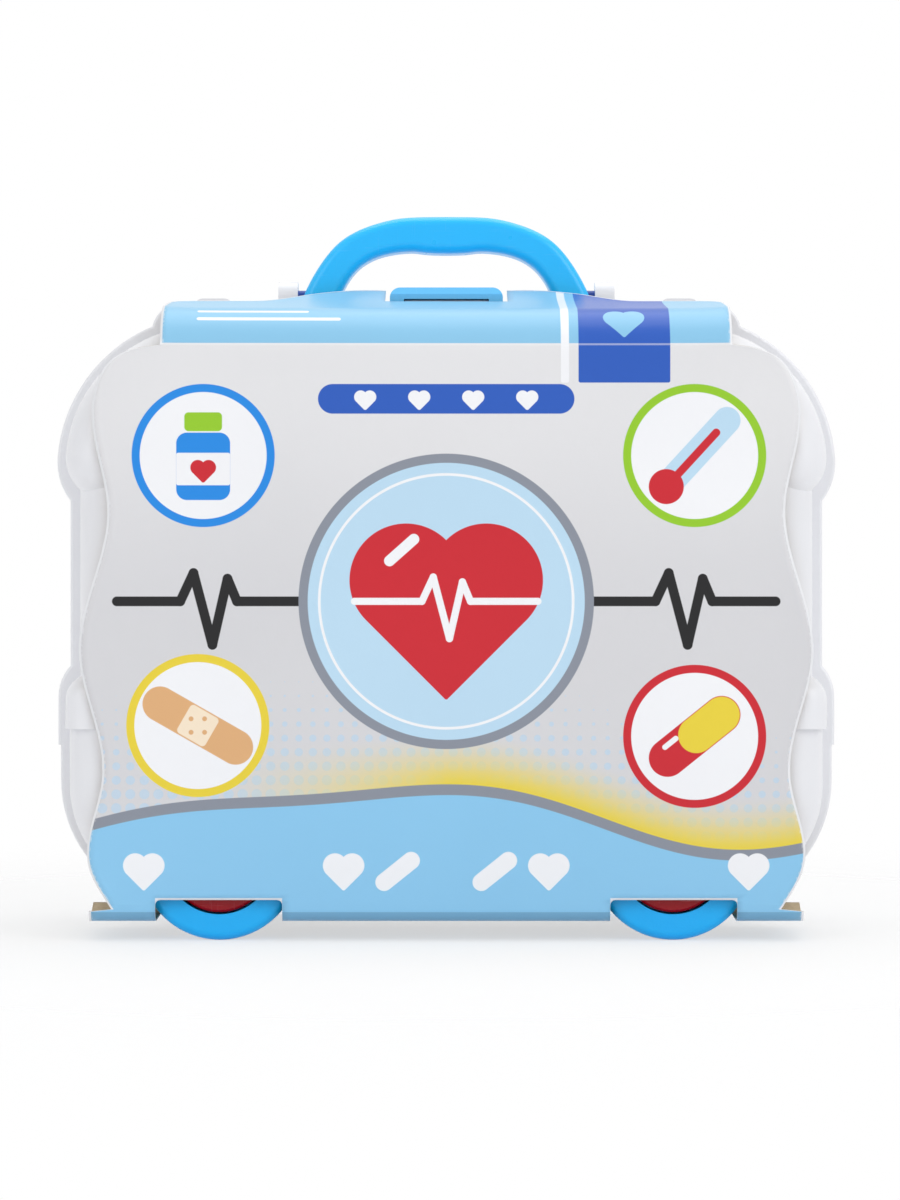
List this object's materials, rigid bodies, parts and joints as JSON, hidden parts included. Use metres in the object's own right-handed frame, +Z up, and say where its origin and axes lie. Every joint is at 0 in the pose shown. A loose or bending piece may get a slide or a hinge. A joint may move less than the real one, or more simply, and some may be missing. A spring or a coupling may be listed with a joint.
{
  "type": "toy doctor case",
  "caption": "Lobed plastic toy carry case on wheels that opens on bottom hinges, with a handle, a latch, a tool tray, swing-out side trays and a card sleeve.",
  "frame": {"origin": "floor under the middle of the case, on the parting plane of the two shells", "axes": "+X to the right seen from the front, +Y to the rear, +Z up; the sleeve's panel faces -Y"},
  "size_m": [0.3008, 0.122, 0.2765],
  "materials": {
    "shell": "moulded, satin gloss",
    "tray": "moulded, gloss",
    "handle": "moulded, gloss",
    "latch": "moulded, gloss",
    "pivot": "moulded",
    "wheel": "moulded, gloss",
    "hub": "moulded, gloss",
    "card": "printed and coated outside",
    "steel": "drawn wire"
  },
  "bodies": {
    "rear_case": {"rear_shell": "shell", "strap_loop_left": "shell", "strap_loop_right": "shell", "tool_tray": "tray", "tray_screws": "steel", "lid_hinge_pin_left": "steel", "lid_hinge_pin_right": "steel", "wing_pin_left": "steel", "wing_pin_right": "steel", "handle_pin_left": "pivot", "handle_pin_right": "pivot", "axle_rear_left": "steel", "axle_rear_right": "steel"},
    "lid": {"front_shell": "shell", "lid_shelf": "tray", "lid_pegs": "tray", "latch_pin": "steel", "axle_front_left": "steel", "axle_front_right": "steel"},
    "sleeve": {"card_sleeve": "card"},
    "latch": {"latch": "latch"},
    "handle": {"handle": "handle"},
    "wing_left": {"wing_left": "tray"},
    "wing_right": {"wing_right": "tray"},
    "wheel_front_left": {"wheel_front_left": "wheel", "hub_cap_front_left": "hub"},
    "wheel_front_right": {"wheel_front_right": "wheel", "hub_cap_front_right": "hub"},
    "wheel_rear_left": {"wheel_rear_left": "wheel", "hub_cap_rear_left": "hub"},
    "wheel_rear_right": {"wheel_rear_right": "wheel", "hub_cap_rear_right": "hub"}
  },
  "joints": [
    {"name": "lid_hinge", "type": "hinge", "parent": "rear_case", "child": "lid", "pos_m": [0, 0, 0.0065], "axis": [1, 0, 0], "range_deg": [0, 105]},
    {"name": "sleeve_slide", "type": "slide", "parent": "lid", "child": "sleeve", "axis": [0, -1, 0], "range_m": [0, 0.08]},
    {"name": "latch_hinge", "type": "hinge", "parent": "lid", "child": "latch", "pos_m": [0, -0.011, 0.2395], "axis": [1, 0, 0], "range_deg": [0, 95]},
    {"name": "handle_swing", "type": "hinge", "parent": "rear_case", "child": "handle", "pos_m": [0, 0.018, 0.2458], "axis": [-1, 0, 0], "range_deg": [-20, 90]},
    {"name": "wing_left_swing", "type": "hinge", "parent": "rear_case", "child": "wing_left", "pos_m": [-0.128, -0.0086, 0.137], "axis": [0, 0, -1], "range_deg": [0, 180]},
    {"name": "wing_right_swing", "type": "hinge", "parent": "rear_case", "child": "wing_right", "pos_m": [0.128, -0.0086, 0.137], "axis": [0, 0, 1], "range_deg": [0, 180]},
    {"name": "wheel_front_left_spin", "type": "hinge", "parent": "lid", "child": "wheel_front_left", "pos_m": [-0.0843, -0.047, 0.03], "axis": [0, 1, 0], "continuous": true},
    {"name": "wheel_front_right_spin", "type": "hinge", "parent": "lid", "child": "wheel_front_right", "pos_m": [0.0843, -0.047, 0.03], "axis": [0, 1, 0], "continuous": true},
    {"name": "wheel_rear_left_spin", "type": "hinge", "parent": "rear_case", "child": "wheel_rear_left", "pos_m": [-0.0843, 0.048, 0.03], "axis": [0, 1, 0], "continuous": true},
    {"name": "wheel_rear_right_spin", "type": "hinge", "parent": "rear_case", "child": "wheel_rear_right", "pos_m": [0.0843, 0.048, 0.03], "axis": [0, 1, 0], "continuous": true}
  ],
  "couplings": [
    {"joint": "wing_left_swing", "follows": "lid_hinge", "ratio": 1.714},
    {"joint": "wing_right_swing", "follows": "lid_hinge", "ratio": 1.714}
  ]
}
